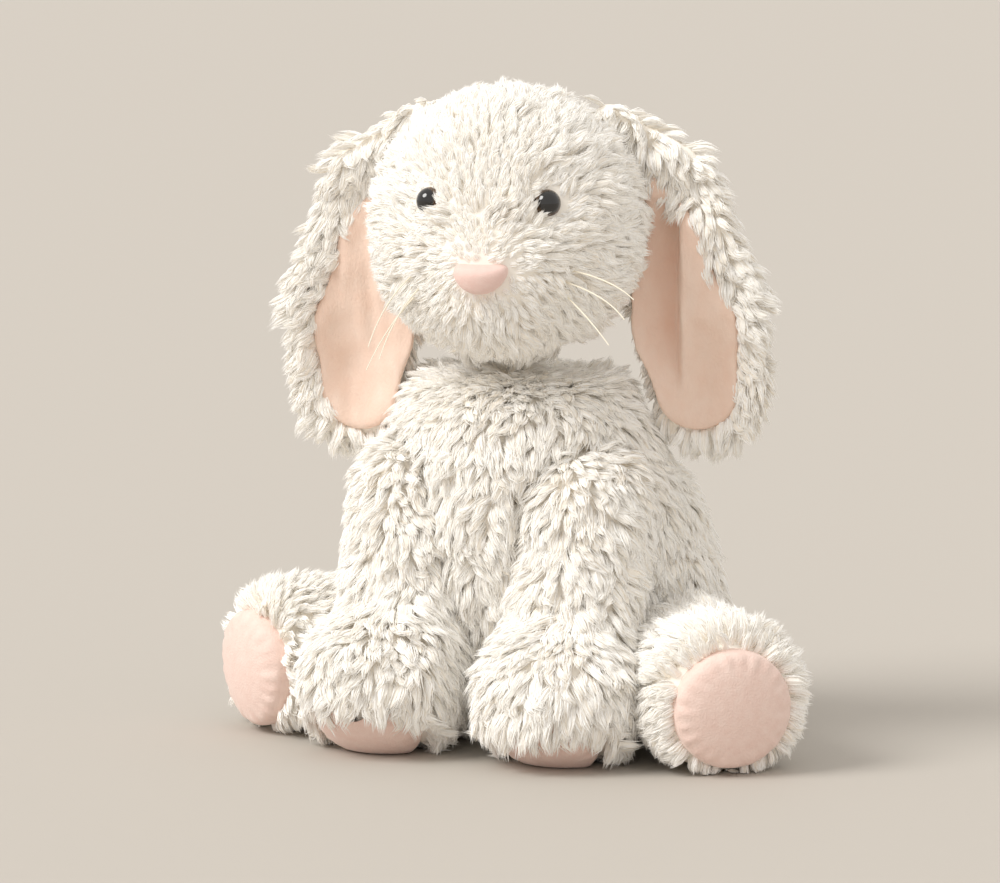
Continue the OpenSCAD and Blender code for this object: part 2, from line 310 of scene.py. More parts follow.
def outline(x, z, circles):
    """Distance in the ear's own plane to the tangent outline of its circles."""
    p = np.stack([x, np.zeros_like(x), z], -1)
    d = np.full(x.shape, 1e3)
    for (xa, za, ra), (xb, zb, rb) in zip(circles, circles[1:]):
        d = joined(d, limb(p, np.array([xa, 0, za]), ra, np.array([xb, 0, zb]), rb), 6)
    return d


def flat_ear_field(p):
    """The ear before it is cupped: a pillow on its outline, clear of the skull."""
    edge = outline(p[..., 0], p[..., 2], EAR) + EAR_SKIN_IN
    across = np.abs(p[..., 1] - EAR_MIDDLE) - (EAR_T / 2 - EAR_SKIN_IN)
    return cut(both(edge, across, 7), ball(p, 0, HEAD_R - 3))


def flat_lining_field(p):
    edge = outline(p[..., 0], p[..., 2], LINING)
    front = EAR_MIDDLE - EAR_T / 2
    across = np.abs(p[..., 1] - front - 1.5) - 2.6
    return cut(both(edge, across, 2.5), ball(p, 0, HEAD_R - 4))


CUP = {"left": 11, "right": 9}
PLEAT = {"left": 16, "right": 0}  # depth of the fold that runs down the ear
PLEAT_AT = [(-75, 64), (6, 69)]


def ear_at(z, k):
    """The ear's middle (k = 0) or its half width (k = 2) at height z, from its circles."""
    return np.interp(z, [c[1] for c in EAR[::-1]], [c[k] for c in EAR[::-1]])


def cupped(p, side):
    """Bends the flat ear: its long edges come forward, and a pleat runs down its middle."""
    p = np.array(p, float)
    x, z = p[:, 0], p[:, 2]
    across = (x - ear_at(z, 0)) / ear_at(z, 2)
    hold = np.clip((38 - z) / 40, 0, 1)
    p[:, 1] -= CUP[side] * hold * (np.abs(across) ** 1.6 - 0.4)
    p[:, 1] += 1.6 * np.sin(z / 13 + across * 1.5) * np.clip(-z / 60, 0, 1)
    past = x - np.interp(z, *zip(*PLEAT_AT))
    step = np.clip(past / 2.2 + 0.5, 0, 1)
    step = step * step * (3 - 2 * step)
    fade = np.clip((10 - z) / 14, 0, 1) * np.clip((z + 78) / 34, 0, 1)
    flap = step * np.clip(1 - past / 30, 0, 1) - (1 - step) * np.clip(1 + past / 26, 0, 1)
    p[:, 1] -= PLEAT[side] * fade * flap * np.where(flap > 0, 0.5, 0.65)
    root = np.array([EAR[0][0], 0, EAR[0][1]])
    a = -SPREAD[side]
    rel = p - root
    c, s = math.cos(a), math.sin(a)
    p = np.stack([rel[:, 0] * c + rel[:, 2] * s, rel[:, 1], rel[:, 2] * c - rel[:, 0] * s], -1) + root
    return out_of_head(mirrored(p, SIDES[side]))


# ---- meshes ----

def net(field, lo, hi, pitch):
    """Points and quads of the closed surface where a field is zero."""
    lo = np.array(lo, float)
    count = np.ceil((np.array(hi) - lo) / pitch).astype(int) + 1
    index = np.stack(np.meshgrid(*[np.arange(c) for c in count], indexing="ij"), -1)
    value = field((lo + index * pitch).reshape(-1, 3)).reshape(count)
    cells = count - 1
    total, hits, quads = np.zeros((cells.prod(), 3)), np.zeros(cells.prod()), []
    for a in range(3):
        step, b, c = np.eye(3, dtype=int)[[a, (a + 1) % 3, (a + 2) % 3]]
        low = value[tuple(slice(0, -1) if k == a else slice(1, -1) for k in range(3))]
        high = value[tuple(slice(1, None) if k == a else slice(1, -1) for k in range(3))]
        edge = np.argwhere((low < 0) != (high < 0)) + (1 - step)
        v0, v1 = value[tuple(edge.T)], value[tuple((edge + step).T)]
        point = edge + step * (v0 / (v0 - v1))[:, None]
        ids = np.stack([np.ravel_multi_index(q.T, cells)
                        for q in (edge, edge - b, edge - b - c, edge - c)], 1)
        ids[v0 > 0] = ids[v0 > 0][:, ::-1]
        for k in range(4):
            np.add.at(total, ids[:, k], point)
            np.add.at(hits, ids[:, k], 1)
        quads.append(ids)
    used, flat = np.unique(np.concatenate(quads), return_inverse=True)
    points = lo + pitch * total[used] / hits[used][:, None]
    return points, flat.reshape(-1, 4)


def relaxed(points, quads, rounds):
    """Each point moved half way to the mean of its neighbours, some rounds over."""
    a = quads.ravel()
    b = np.roll(quads, -1, 1).ravel()
    number = np.zeros(len(points))
    np.add.at(number, a, 1)
    np.add.at(number, b, 1)
    for _ in range(rounds):
        total = np.zeros_like(points)
        np.add.at(total, a, points[b])
        np.add.at(total, b, points[a])
        points = 0.5 * points + 0.5 * total / number[:, None]
    return points


def mesh_object(name, points, faces, material):
    me = bpy.data.meshes.new(name)
    me.from_pydata((points * MM).tolist(), [], faces if isinstance(faces, list) else faces.tolist())
    shade_smooth(me)
    me.materials.append(material)
    return placed(name, me)


def points_of(ob):
    co = np.empty(len(ob.data.vertices) * 3, np.float32)
    ob.data.vertices.foreach_get("co", co)
    return co.reshape(-1, 3).astype(float) / MM


def set_points(ob, points):
    ob.data.vertices.foreach_set("co", (points * MM).astype(np.float32).ravel())
    ob.data.update()


def off_ground(ob):
    points = points_of(ob)
    points[:, 2] = np.maximum(points[:, 2], FLOOR_GAP)
    set_points(ob, points)


def swell(objects, cap, frames=20):
    """Fills closed skins by cloth simulation. No point ends more than cap from its start."""
    scene = bpy.context.scene
    start = {}
    for ob in objects:
        start[ob.name] = points_of(ob)
        cloth = ob.modifiers.new("fill", "CLOTH")
        cloth.settings.use_pressure = True
        cloth.settings.uniform_pressure_force = 4
        cloth.settings.effector_weights.gravity = 0
        cloth.point_cache.frame_start = 1
        cloth.point_cache.frame_end = frames
    for f in range(1, frames + 1):
        scene.frame_set(f)
    graph = bpy.context.evaluated_depsgraph_get()
    ends = {}
    for ob in objects:
        ends[ob.name] = points_of(ob.evaluated_get(graph))
    for ob in objects:
        ob.modifiers.clear()
        move = ends[ob.name] - start[ob.name]
        size = np.linalg.norm(move, axis=1, keepdims=True)
        set_points(ob, start[ob.name] + move * np.minimum(1, cap / np.maximum(size, 1e-6)))
    scene.frame_set(1)


# ---- materials ----

NAP_DEEP = 0.3


def finish_of(name, colour, roughness=0.85, **plain):
    """A Principled material with plain values; the keywords are its sockets with _ for a space."""
    mat = bpy.data.materials.new(name)
    mat.use_nodes = True
    sockets = mat.node_tree.nodes["Principled BSDF"].inputs
    sockets["Base Color"].default_value = (*colour, 1)
    sockets["Roughness"].default_value = roughness
    for key, value in plain.items():
        sockets[key.replace("_", " ")].default_value = value
    return mat


def node(tree, kind, **values):
    """A new node. A keyword is a property, or with a capital an input socket's value."""
    made = tree.nodes.new("ShaderNode" + kind)
    for key, value in values.items():
        if key.islower():
            setattr(made, key, value)
        else:
            made.inputs[key.replace("_", " ")].default_value = value
    return made


def mottle(mat, other, size, nap=0.0, nap_size=0.6, stretch=(1, 1, 1)):
    """Colour that drifts to another over size millimetres, and a fine raised nap."""
    tree = mat.node_tree
    shader = tree.nodes["Principled BSDF"]
    where = node(tree, "TexCoord")
    scaled = node(tree, "VectorMath", operation="MULTIPLY")
    scaled.inputs[1].default_value = stretch
    tree.links.new(where.outputs["Object"], scaled.inputs[0])
    drift = node(tree, "TexNoise", Scale=1 / (size * MM), Detail=4)
    mix = node(tree, "Mix", data_type="RGBA", A=shader.inputs["Base Color"].default_value,
               B=(*other, 1))
    tree.links.new(scaled.outputs[0], drift.inputs["Vector"])
    tree.links.new(drift.outputs["Fac"], mix.inputs["Factor"])
    tree.links.new(mix.outputs["Result"], shader.inputs["Base Color"])
    if nap:
        fine = node(tree, "TexNoise", Scale=1 / (nap_size * MM), Detail=3)
        bump = node(tree, "Bump", Strength=nap, Distance=NAP_DEEP * MM)
        tree.links.new(scaled.outputs[0], fine.inputs["Vector"])
        tree.links.new(fine.outputs["Fac"], bump.inputs["Height"])
        tree.links.new(bump.outputs["Normal"], shader.inputs["Normal"])
    return mat


# The backing and the locks' cores are a warmer cream than the strands over them. This is painted warm
# shade for the crevices between and inside the locks. Their mottle is plain random tone.
BACKING = mottle(finish_of("pile_backing_painted_shade", (0.95, 0.90, 0.82)), (0.96, 0.92, 0.86), 6, 0.5, 1.2)
# The first three tints, for the cores, carry that painted warm shade. The last two are the strands' own
# tones.
TINTS = [
    finish_of("fur_core_painted_shade_warm", (0.96, 0.915, 0.84), 0.95),
    finish_of("fur_core_painted_shade_cream", (0.965, 0.93, 0.87), 0.95),
    finish_of("fur_core_painted_shade_pale", (0.97, 0.945, 0.895), 0.95),
    finish_of("fur_fibre_cream", (0.975, 0.96, 0.93), 0.9, Sheen_Weight=0.1),
    finish_of("fur_fibre_white", (0.98, 0.97, 0.95), 0.9, Sheen_Weight=0.1),
]
VELOUR = mottle(finish_of("pink_velour", (0.80, 0.57, 0.50), 0.9, Sheen_Weight=0.5,
                          Sheen_Roughness=0.4, Sheen_Tint=(1, 0.93, 0.88, 1)),
                (0.90, 0.73, 0.66), 4, 1.0, 0.9)
EAR_VELOUR = mottle(finish_of("ear_velour", (0.84, 0.59, 0.47), 0.9, Sheen_Weight=0.45,
                              Sheen_Roughness=0.4, Sheen_Tint=(1, 0.90, 0.84, 1)),
                    (0.90, 0.74, 0.64), 7, 1.0, 0.9, (1, 1, 0.6))
NOSE_NAP = mottle(finish_of("nose_velour", (0.82, 0.56, 0.50), 0.9, Sheen_Weight=0.4,
                            Sheen_Roughness=0.4, Sheen_Tint=(1, 0.93, 0.90, 1)),
                  (0.86, 0.66, 0.60), 3, 0.8, 0.6)
BRISTLE = mottle(finish_of("whisker_nylon", (0.93, 0.88, 0.76), 0.3), (0.88, 0.80, 0.64), 8)
POUCH = mottle(finish_of("pouch_cotton", (0.72, 0.70, 0.64)), (0.80, 0.78, 0.73), 2, 0.4, 0.7)
PELLET = mottle(finish_of("pellet_plastic", (0.80, 0.83, 0.88), 0.35), (0.70, 0.74, 0.80), 2, 0.8, 2.5)
WASHER = mottle(finish_of("washer_plastic", (0.82, 0.82, 0.80), 0.4), (0.76, 0.76, 0.74), 3, 0.15, 1)


EYE_BLACK = (0.006, 0.005, 0.005)
EYE_BROWN = (0.09, 0.045, 0.02)
EYE_RING = (4.6, 5.4)


def eye_finish(side):
    """Black, with a thin dark-brown ring near the edge of the dome."""
    mat = finish_of("eye_plastic_" + side, EYE_BLACK, 0.06, Coat_Weight=0.6, Coat_Roughness=0.03)
    tree = mat.node_tree
    shader = tree.nodes["Principled BSDF"]
    where = node(tree, "TexCoord")
    from_eye = node(tree, "VectorMath", operation="SUBTRACT")
    from_eye.inputs[1].default_value = EYES[side] * MM
    off_axis = node(tree, "VectorMath", operation="CROSS_PRODUCT")
    off_axis.inputs[1].default_value = unit(EYES[side] - HEAD)
    radius = node(tree, "VectorMath", operation="LENGTH")
    ring = node(tree, "MapRange", From_Min=EYE_RING[0] * MM, From_Max=EYE_RING[1] * MM)
    mix = node(tree, "Mix", data_type="RGBA", A=(*EYE_BLACK, 1), B=(*EYE_BROWN, 1))
    tree.links.new(where.outputs["Object"], from_eye.inputs[0])
    tree.links.new(from_eye.outputs[0], off_axis.inputs[0])
    tree.links.new(off_axis.outputs[0], radius.inputs[0])
    tree.links.new(radius.outputs["Value"], ring.inputs["Value"])
    tree.links.new(ring.outputs[0], mix.inputs["Factor"])
    tree.links.new(mix.outputs["Result"], shader.inputs["Base Color"])
    return mat


# ---- stuffed skins ----

def skin(name, field, lo, hi, pitch=4.0, rounds=3):
    points, quads = net(field, lo, hi, pitch)
    return mesh_object(name, relaxed(points, quads, rounds), quads, BACKING)


def quads_of(ob):
    corners = np.empty(len(ob.data.loops), np.int32)
    ob.data.loops.foreach_get("vertex_index", corners)
    return corners.reshape(-1, 4)


skins = {
    "torso": skin("torso_skin", torso_skin_field, (-80, -120, -4), (80, 85, 164)),
    "head": skin("head_skin", head_skin_field, (-66, -125, 158), (66, 14, 292)),
    "neck": skin("neck_skin", neck_field, (-64, -116, 130), (64, 12, 192), 3.5),
    "tail": skin("tail_skin", lambda p: tail_field(p, -7), (-26, 50, 12), (26, 104, 64), 3),
}
for side, sign in SIDES.items():
    skins["foreleg_" + side] = skin(
        f"foreleg_{side}_skin", lambda p, s=sign, n=side: foreleg_skin_field(mirrored(p, s), n),
        (-40 + 40 * sign, -130, -3), (40 + 40 * sign, -30, 136))
    skins["hind_leg_" + side] = skin(
        f"hind_leg_{side}_skin",
        lambda p, s=sign, n=side: hind_leg_skin_field(mirrored(p, s), n),
        (-60 + 80 * sign, -118, -4), (60 + 80 * sign, 20, 70))

ear_flat, ear_quads = net(flat_ear_field, (22, 4, -110), (114, 32, 54), 3)
ear_flat = relaxed(ear_flat, ear_quads, 2)
for side, sign in SIDES.items():
    skins["ear_" + side] = mesh_object(f"ear_{side}_skin", cupped(ear_flat, side),
                                       ear_quads[:, ::sign], BACKING)

swell([skins[n] for n in skins if not n.startswith("ear")], cap=2.5)
for ob in skins.values():
    off_ground(ob)


# ---- pile: locks of fibres in clumps, as closed meshes ----

def noise(p, size, seed):
    """A smooth random field between about -1 and 1 that changes over size millimetres."""
    rng = np.random.default_rng(seed)
    wave = rng.normal(size=(9, 3))
    wave *= (2 * math.pi / size * rng.uniform(0.5, 1.2, 9) / np.linalg.norm(wave, axis=1))[:, None]
    return np.sin(p @ wave.T + rng.uniform(0, 2 * math.pi, 9)).sum(1) / 3


def tangent(v, n):
    return unit(v - (v * n).sum(-1, keepdims=True) * n)


def spaced(points, gap):
    """Indices of points, in order, that keep at least gap from those kept before."""
    cells, kept = {}, []
    for i, (p, c) in enumerate(zip(points.tolist(), np.floor(points / gap).astype(int).tolist())):
        near = (q for dx in (-1, 0, 1) for dy in (-1, 0, 1) for dz in (-1, 0, 1)
                for q in cells.get((c[0] + dx, c[1] + dy, c[2] + dz), ()))
        if all((p[0] - q[0]) ** 2 + (p[1] - q[1]) ** 2 + (p[2] - q[2]) ** 2 > gap * gap
               for q in near):
            cells.setdefault(tuple(c), []).append(p)
            kept.append(i)
    return np.array(kept, int)


def scattered(points, quads, gap, rng, extra=None):
    """Roots, their normals and a list of what extra says there, spread over a skin gap apart."""
    tri = np.concatenate([quads[:, [0, 1, 2]], quads[:, [0, 2, 3]]])
    corner = points[tri]
    cross = np.cross(corner[:, 1] - corner[:, 0], corner[:, 2] - corner[:, 0])
    normals = np.zeros_like(points)
    for k in range(3):
        np.add.at(normals, tri[:, k], cross)
    area = np.linalg.norm(cross, axis=1) / 2
    count = int(area.sum() / gap ** 2 * 5)
    pick = rng.choice(len(tri), count, p=area / area.sum())
    u, v = np.sqrt(rng.random(count)), rng.random(count)
    weight = np.stack([1 - u, u * (1 - v), u * v], 1)[:, :, None]
    where = (points[tri[pick]] * weight).sum(1)
    kept = spaced(where, gap)
    normal = unit((normals[tri[pick]] * weight).sum(1))
    more = [] if extra is None else [(extra[tri[pick]] * weight).sum(1)[kept]]
    return where[kept], normal[kept], more


def tube(rings, sides):
    """Faces of a closed tube of rings, each of sides points, that ends in one point."""
    faces = [tuple(range(sides))[::-1]]
    for k in range(rings - 1):
        for i in range(sides):
            j = (i + 1) % sides
            faces.append((k * sides + i, k * sides + j, (k + 1) * sides + j, (k + 1) * sides + i))
    last = (rings - 1) * sides
    faces += [(last + i, last + (i + 1) % sides, rings * sides) for i in range(sides)]
    return faces


# Rings of a lock's core and of a strand: how far along they are, and how thick there.
CORE_AT = np.array([0, 0.42, 0.74])
CORE_FAT = np.array([0.6, 0.8, 0.6])
CORE_SIDES = 4
CORE_END = 0.93
FLAT = 0.55  # a lock's thickness over its width
FIBRE_AT = np.array([0, 0.6])
FIBRE_FAT = np.array([0.85, 1.0])
FAN_AT = [0, 0.28, 0.6, 0.85, 1, 1.15]  # strands spread from their lock's line and close again
FAN = [0.6, 0.98, 1.06, 0.88, 0.6, 0.5]
FIBRE_RINGS = len(FIBRE_AT)
FIBRE_POINTS = FIBRE_RINGS * 3 + 1
CORE_FACES = tube(len(CORE_AT), CORE_SIDES)
FIBRE_FACES = tube(FIBRE_RINGS, 3)


def triangles(faces):
    return sum(len(f) - 2 for f in faces)


def lock_points(root, normal, flow, length, width, rise, fibres, thick, rng):
    """Points of each lock's core, (locks, k, 3), and of its strands, (locks, fibres, k, 3)."""
    n, steps = len(root), 5
    t = (np.arange(steps) + 0.5) / steps
    side = np.cross(normal, flow)
    angle = np.radians(rise[:, :1] + (rise[:, 1:] - rise[:, :1]) * t ** 0.8)
    bend = rng.normal(0, 0.5, (n, 1)) * (t - 0.2) + rng.normal(0, 0.25, (n, 1)) * np.sin(6 * t)
    ahead = (np.cos(angle) * np.cos(bend))[..., None] * flow[:, None]
    ahead += (np.cos(angle) * np.sin(bend))[..., None] * side[:, None]
    ahead += np.sin(angle)[..., None] * normal[:, None]
    line = root[:, None] + np.concatenate(
        [np.zeros((n, 1, 3)), np.cumsum(ahead * (length / steps)[:, None, None], 1)], 1)

    def at(t):
        """Point, sideways and upward directions at share t of each lock; t is (locks, k)."""
        k = np.clip(np.floor(t * steps).astype(int), 0, steps - 1)
        row = np.arange(n)[:, None]
        part = (t * steps - k)[..., None]
        point = line[row, k] + part * (line[row, k + 1] - line[row, k])
        forward = ahead[row, k]
        across = unit(side[:, None] - (side[:, None] * forward).sum(-1, keepdims=True) * forward)
        return point, across, np.cross(across, forward)

    turn = np.arange(CORE_SIDES) * 2 * math.pi / CORE_SIDES
    point, across, up = at(np.broadcast_to(CORE_AT, (n, len(CORE_AT))))
    fat = (width[:, None] / 2 * CORE_FAT)[..., None, None]
    ring = point[:, :, None] + fat * (np.cos(turn)[:, None] * across[:, :, None]
                                      + FLAT * np.sin(turn)[:, None] * up[:, :, None])
    tip = at(np.full((n, 1), CORE_END))[0]
    core = np.concatenate([ring.reshape(n, -1, 3), tip], 1)

    theta = rng.uniform(0, 2 * math.pi, (n, fibres))
    out = rng.uniform(0.72, 1.15, (n, fibres)) * (width / 2)[:, None]
    start = rng.uniform(0.0, 0.4, (n, fibres))
    end = rng.uniform(0.8, 1.14, (n, fibres))
    twist = rng.normal(0, 0.6, (n, fibres))
    t = start[..., None] + (end - start)[..., None] * np.append(FIBRE_AT, 1.0)
    point, across, up = at(t.reshape(n, -1))
    shape = (n, fibres, FIBRE_RINGS + 1, 3)
    point, across, up = point.reshape(shape), across.reshape(shape), up.reshape(shape)
    fan = np.interp(t, FAN_AT, FAN)
    spin = theta[..., None] + twist[..., None] * t
    reach = (out[..., None] * fan)[..., None]
    c, s = np.cos(spin)[..., None], np.sin(spin)[..., None]
    middle = point + reach * (c * across + FLAT * s * up)
    outward = unit(c * FLAT * across + s * up)
    along = unit(-s * across + c * FLAT * up)
    turn = np.arange(3) * 2 * math.pi / 3
    fat = (thick * FIBRE_FAT / 2)[:, None, None]
    ring = middle[:, :, :-1, None] + fat * (np.sin(turn)[:, None] * along[:, :, :-1, None]
                                            + 0.5 * np.cos(turn)[:, None] * outward[:, :, :-1, None])
    strands = np.concatenate([ring.reshape(n, fibres, -1, 3), middle[:, :, -1:]], 2)
    return core, strands


def soup(name, groups):
    """One mesh of many copies: each group is (points of (copies, k, 3), faces, material index)."""
    co, loops, starts, tint = [], [], [], []
    first, loop_at = 0, 0
    for points, faces, index in groups:
        copies, k = points.shape[:2]
        flat = np.concatenate([np.array(f) for f in faces])
        sizes = np.array([len(f) for f in faces])
        heads = np.concatenate([[0], np.cumsum(sizes)[:-1]])
        loops.append((flat + first + k * np.arange(copies)[:, None]).ravel())
        starts.append((heads + loop_at + len(flat) * np.arange(copies)[:, None]).ravel())
        tint.append(np.repeat(index, len(faces)))
        co.append(points.reshape(-1, 3))
        first += copies * k
        loop_at += copies * len(flat)
    co = np.concatenate(co)
    co[:, 2] = np.maximum(co[:, 2], FLOOR_GAP)
    me = bpy.data.meshes.new(name)
    me.vertices.add(len(co))
    me.vertices.foreach_set("co", (co * MM).astype(np.float32).ravel())
    me.loops.add(loop_at)
    me.loops.foreach_set("vertex_index", np.concatenate(loops).astype(np.int32))
    starts = np.concatenate(starts).astype(np.int32)
    me.polygons.add(len(starts))
    me.polygons.foreach_set("loop_start", starts)
    me.polygons.foreach_set("material_index", np.concatenate(tint).astype(np.int32))
    me.polygons.foreach_set("use_smooth", np.zeros(len(starts), bool))
    for mat in TINTS:
        me.materials.append(mat)
    me.update(calc_edges=True)
    return placed(name, me)


MOST_TRIANGLES = 195_000
DRAW = 0.22  # how far the locks of a clump draw together
CLUMP_YAW, LOCK_YAW = 17, 9  # degrees that the lie of a clump, and of a lock in it, strays
CLUMP_RISE, LOCK_RISE = 5, 4
ROOT_DEPTH = 0.8


def pile(name, ob, flow_at, keep, length, width, gap, rise, seed, fibres=18, thick=0.62,
         clump=7.5, shape=None, order=None, extra=None):
    """Grows a skin's pile, in pieces name_1, name_2 and on, each small enough to export whole.

    flow_at gives each root's lie, keep says which roots grow, shape may change length, width
    and rise root by root, and order sorts the roots before they are parted into pieces.
    """
    rng = np.random.default_rng(seed)
    root, normal, more = scattered(points_of(ob), quads_of(ob), gap, rng, extra)
    mask = keep(root, normal, *more)
    root, normal, more = root[mask], normal[mask], [m[mask] for m in more]
    n = len(root)
    flow = tangent(flow_at(root, normal, *more), normal)
    # Clumps: neighbouring locks share a lie and draw together at their tips.
    centres = spaced(root, clump)
    tree = KDTree(len(centres))
    for i, c in enumerate(centres):
        tree.insert(Vector(root[c]), i)
    tree.balance()
    mine = np.array([tree.find(Vector(p))[1] for p in root])
    yaw = np.radians(rng.normal(0, CLUMP_YAW, len(centres)))[mine]
    yaw = yaw + np.radians(rng.normal(0, LOCK_YAW, n))
    side = np.cross(normal, flow)
    flow = unit(np.cos(yaw)[:, None] * flow + np.sin(yaw)[:, None] * side)
    length = length * rng.uniform(0.86, 1.16, len(centres))[mine] * rng.uniform(0.9, 1.1, n)
    width = width * rng.uniform(0.85, 1.2, n)
    rise = np.array(rise, float) + rng.normal(0, CLUMP_RISE, len(centres))[mine][:, None]
    rise = rise + rng.normal(0, LOCK_RISE, (n, 1))
    if shape is not None:
        length, width, rise = shape(root, length, width, rise)
    target = root[centres][mine] + flow * length[:, None]
    flow = tangent((1 - DRAW) * flow * length[:, None] + DRAW * (target - root), normal)
    core, strands = lock_points(root - normal * ROOT_DEPTH, normal, flow, length, width, rise,
                                fibres, thick, rng)
    # Cores take one of the warmer lock tints, which is painted warm shade inside the lock. Strands take
    # one of the whiter fibre tints. Which tint each gets is random.
    tint = np.clip(np.round(1 + 0.9 * noise(root, 25, seed + 1) + rng.normal(0, 0.6, n)), 0, 2)
    fibre_tint = rng.choice([3, 4], (n, fibres), p=[0.45, 0.55])
    per_lock = triangles(CORE_FACES) + fibres * triangles(FIBRE_FACES)
    pieces = math.ceil(n * per_lock / MOST_TRIANGLES)
    rank = np.argsort(order(root) if order else root[:, 2], kind="stable")
    made = []
    for k, part in enumerate(np.array_split(rank, pieces)):
        groups = [(core[part], CORE_FACES, tint[part]),
                  (strands[part].reshape(-1, FIBRE_POINTS, 3), FIBRE_FACES, fibre_tint[part].ravel())]
        made.append(soup(f"{name}_{k + 1}", groups))
    return made


# ---- where each pile lies and which way ----

DOWN = np.array([0, 0, -1.0])
NOSE_LIFT = -12
NOSE_R = 11.8
NOSE_HIGH = 3.0
NOSE_AT = out_of_head(facing(0, NOSE_LIFT) * 61)
EYE_TURN, EYE_LIFT, EYE_OUT = 29, 14, 57
EYES = {s: out_of_head(mirrored(facing(EYE_TURN, EYE_LIFT), k) * EYE_OUT) for s, k in SIDES.items()}
HOOD = {"left": 0.25, "right": 0.5}  # how far the brow fur falls over each eye


def off_floor(p, n):
    return (n[:, 2] > -0.72) | (p[:, 2] > 9)


def torso_lie(p, n):
    out = unit((p - NECK) * (1, 1, 0))
    high = np.clip((p[:, 2] - 138) / 18, 0, 1)[:, None]
    return DOWN + out * (0.15 + 1.4 * high)


def torso_grows(p, n):
    ok = off_floor(p, n) & (tail_field(p) > -2) & (neck_field(p) > -1.5)
    for side, sign in SIDES.items():
        q = mirrored(p, sign)
        ok &= (foreleg_field(q) > -9) & (hind_leg_field(q, side) > 0.5)
    return ok


def torso_shape(p, length, width, rise):
    """Shorter, flatter pile where a foreleg lies on the torso."""
    deep = np.min([foreleg_field(mirrored(p, k)) for k in SIDES.values()], 0)
    under = np.clip((3 - deep) / 4, 0, 1)
    return length * (1 - 0.45 * under), width, rise - (34, 12) * under[:, None]


def head_lie(p, n):
    q = into_head(p)
    away = unit(p - NOSE_AT)
    behind = np.clip((q[:, 1] - 5) / 35, 0, 1)[:, None]
    lie = away * (1 - behind) + DOWN * (0.25 + behind)
    for side, eye in EYES.items():
        rel = p - eye
        near = np.clip(1.4 - np.linalg.norm(rel, axis=1) / 12, 0, 1)
        near = near * (1 - HOOD[side] * noseward(rel, eye))
        lie += unit(rel) * near[:, None] * 0.6
    return lie


def noseward(rel, eye):
    """From 0 to 1: how squarely a point beside an eye lies on its nose side."""
    return np.clip((unit(rel) @ unit(NOSE_AT - eye)) * 1.5, 0, 1)


def in_nose(q, margin):
    """True for head-local points under the nose's half disc, widened by margin."""
    up = np.array([0, math.sin(math.radians(NOSE_LIFT)), math.cos(math.radians(NOSE_LIFT))])
    x, y = q[:, 0], q @ up
    return (np.hypot(x, y * 1.2) < NOSE_R - 1 + margin) & (y < 1 + margin) & (q[:, 1] < -30)


def head_grows(p, n):
    q = into_head(p)
    ok = (ball(p, NECK, 36) > 0) & ~in_nose(q, 0.3)
    for side, eye in EYES.items():
        rel = p - eye
        ok &= np.linalg.norm(rel, axis=1) > 7.0 - 2.2 * HOOD[side] * noseward(rel, eye)
    x = np.abs(q[:, 0])
    in_ear = (outline(x, q[:, 2], EAR) < -1) & (np.abs(q[:, 1] - EAR_MIDDLE) < 5)
    return ok & ~in_ear


def head_shape(p, length, width, rise):
    """Shorter, flatter pile round the eyes and nose; longer on the crown, sides and chin."""
    q = into_head(p)
    near_eye = np.min([np.linalg.norm(p - e, axis=1) + 7 * HOOD[s] * noseward(p - e, e)
                       for s, e in EYES.items()], 0)
    under = 1 + 0.2 * np.clip((-q[:, 2] - 25) / 25, 0, 1)
    near_nose = np.linalg.norm(p - NOSE_AT, axis=1)
    scale = np.clip(0.42 + (near_eye - 6) / 16, 0.42, 1)
    scale = scale * np.clip(0.5 + (near_nose - 12) / 24, 0.5, 1)
    crown = 1 + 0.1 * np.clip(q[:, 2] / 50, 0, 1) + 0.3 * np.clip(np.abs(q[:, 0]) / 60, 0, 1) ** 3
    length = length * scale * crown * under
    return length, width * (0.75 + 0.25 * scale), rise * np.clip(scale, 0.6, 1)[:, None]


def neck_lie(p, n):
    return unit((p - NECK) * (1, 1, 0)) * 0.3 + DOWN


def neck_grows(p, n):
    return (shoulder_field(p) > -1) & (head_skin_field(p) > 0) & (n[:, 2] > -0.8)


def tail_lie(p, n):
    return unit(p - TAIL) + np.array([0, 0.4, -0.5])


def foreleg_lie(side, sign):
    def lie(p, n):
        q = mirrored(p, sign)
        out = unit((q - (WRIST * 0.5 + PAW * 0.5)) * (1, 1, 0))
        along, off = beside_axis(q, PAW, PAD_AXIS)
        fringe = np.clip(1.5 - np.abs(off - PAD_R) / 8, 0, 1) * (along > 8)
        fringe = fringe * (p[:, 2] < PAD_TOP[side])
        away = unit(q - PAW - along[:, None] * PAD_AXIS)
        return mirrored(DOWN + out * 0.3 + away * fringe[:, None] * 0.9, sign)
    return lie


def foreleg_grows(side, sign):
    def grows(p, n):
        along, off = beside_axis(mirrored(p, sign), PAW, PAD_AXIS)
        bare = (along > 6) & (off < PAD_R + 0.3) & (p[:, 2] < PAD_TOP[side])
        return ~bare & (torso_field(p) > -9)
    return grows


def foreleg_shape(p, length, width, rise):
    low = np.clip((75 - p[:, 2]) / 45, 0, 1)
    flat = np.clip((7 - p[:, 2]) / 4, 0, 1)
    length = length * (1 + 0.15 * low) * (1 - 0.35 * flat)
    rise = rise - (14, 8) * low[:, None]
    return length, width, rise * (1 - flat[:, None]) + (8, -2) * flat[:, None]


def hind_leg_lie(side, sign):
    u = sole_axis(side)

    def lie(p, n):
        q = mirrored(p, sign)
        along = beside_axis(q, FOOT[side], u)[0]
        away = unit(q - FOOT[side] - along[:, None] * u)
        rim = np.clip((along + 6) / 18, 0, 1)[:, None]
        return mirrored(-u * (1 - rim) * 0.7 + away * (0.2 + rim * 1.6) + DOWN * 0.55, sign)
    return lie


